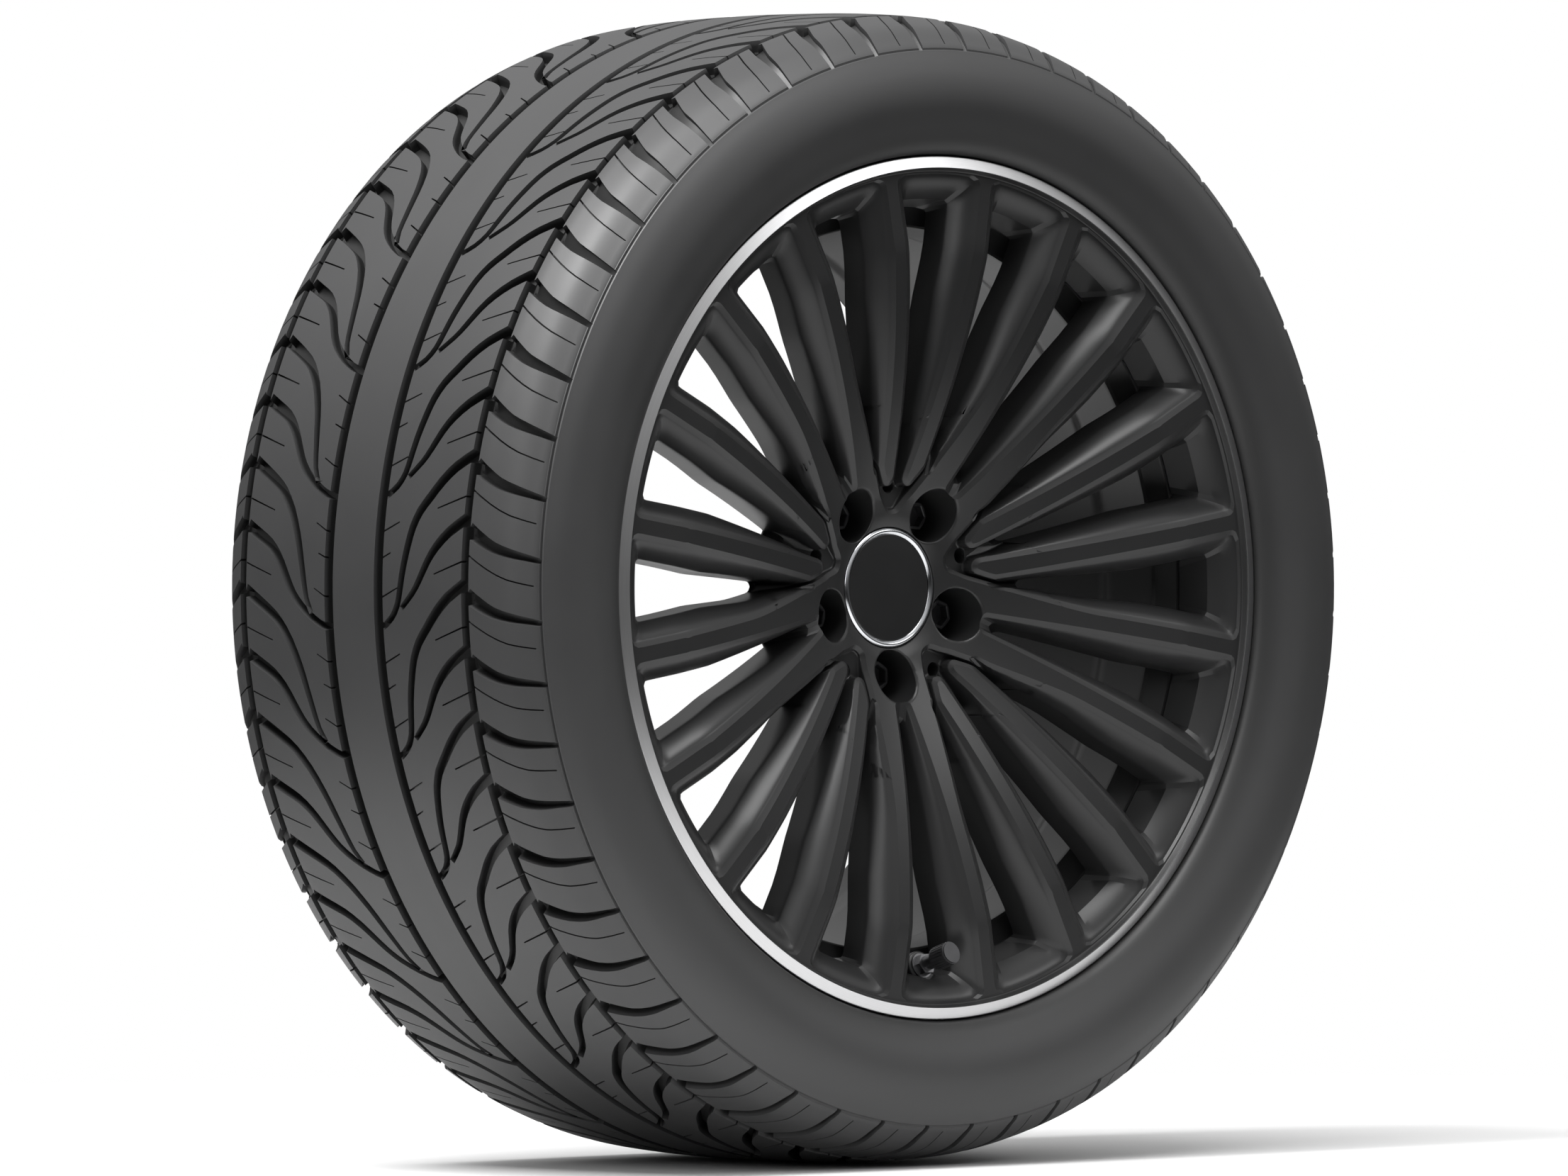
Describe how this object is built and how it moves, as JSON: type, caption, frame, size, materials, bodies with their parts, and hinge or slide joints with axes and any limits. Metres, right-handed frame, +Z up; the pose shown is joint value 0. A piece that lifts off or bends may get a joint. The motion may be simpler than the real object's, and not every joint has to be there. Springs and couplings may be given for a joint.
{
  "type": "car road wheel with tyre",
  "caption": "Cast alloy road wheel with many slim twin spokes, bright turned lip, low tyre, clipped centre cap, ball seat bolts and a metal clamp-in valve with pressure sensor.",
  "frame": {"origin": "centre of the wheel, on the spin axis, midway between the two side walls of the tyre", "axes": "spin axis along Y, outer face toward -Y, +Z up with the valve at the bottom"},
  "size_m": [0.7284, 0.314, 0.7282],
  "materials": {
    "wheel_paint": "satin black paint over cast aluminium, with a bright turned lip",
    "tyre_rubber": "matte rubber",
    "cap_plastic": "moulded black",
    "cap_chrome": "bright plated",
    "cap_face": "gloss black",
    "spring_steel": "drawn wire and plated screw",
    "bolt_black": "black coated steel",
    "valve_metal": "anodised grey",
    "valve_cap_metal": "knurled and anodised grey",
    "seal_rubber": "soft rubber",
    "core_brass": "turned brass",
    "sensor_plastic": "moulded black"
  },
  "bodies": {
    "wheel": {"alloy_wheel": "wheel_paint", "tyre": "tyre_rubber", "cap_body": "cap_plastic", "cap_ring": "cap_chrome", "cap_disc": "cap_face", "cap_spring_wire": "spring_steel", "wheel_bolt_1": "bolt_black", "wheel_bolt_2": "bolt_black", "wheel_bolt_3": "bolt_black", "wheel_bolt_4": "bolt_black", "wheel_bolt_5": "bolt_black", "valve_stem": "valve_metal", "valve_nut": "valve_metal", "valve_washer": "valve_metal", "valve_grommet": "seal_rubber", "valve_core_body": "core_brass", "valve_core_spring": "spring_steel", "sensor_housing": "sensor_plastic", "sensor_screw": "spring_steel"},
    "valve_cap_lift": {"valve_cap_seal": "seal_rubber"},
    "valve_cap": {"valve_cap": "valve_cap_metal"},
    "valve_pin": {"valve_core_pin": "core_brass", "valve_core_gasket": "seal_rubber"}
  },
  "joints": [
    {"name": "valve_cap_travel", "type": "slide", "parent": "wheel", "child": "valve_cap_lift", "axis": [0, -0.9527, 0.304], "range_m": [0, 0.00397]},
    {"name": "valve_cap_turn", "type": "hinge", "parent": "valve_cap_lift", "child": "valve_cap", "pos_m": [0, -0.1399, -0.23192], "axis": [0, -0.9527, 0.304], "range_deg": [0, 1800]},
    {"name": "valve_pin_press", "type": "slide", "parent": "wheel", "child": "valve_pin", "axis": [0, 0.9527, -0.304], "range_m": [0, 0.0012], "stiffness_N_per_m": 1500, "springref_m": -0.001}
  ],
  "couplings": [
    {"joint": "valve_cap_turn", "follows": "valve_cap_travel", "rad_per_m": 7900}
  ]
}
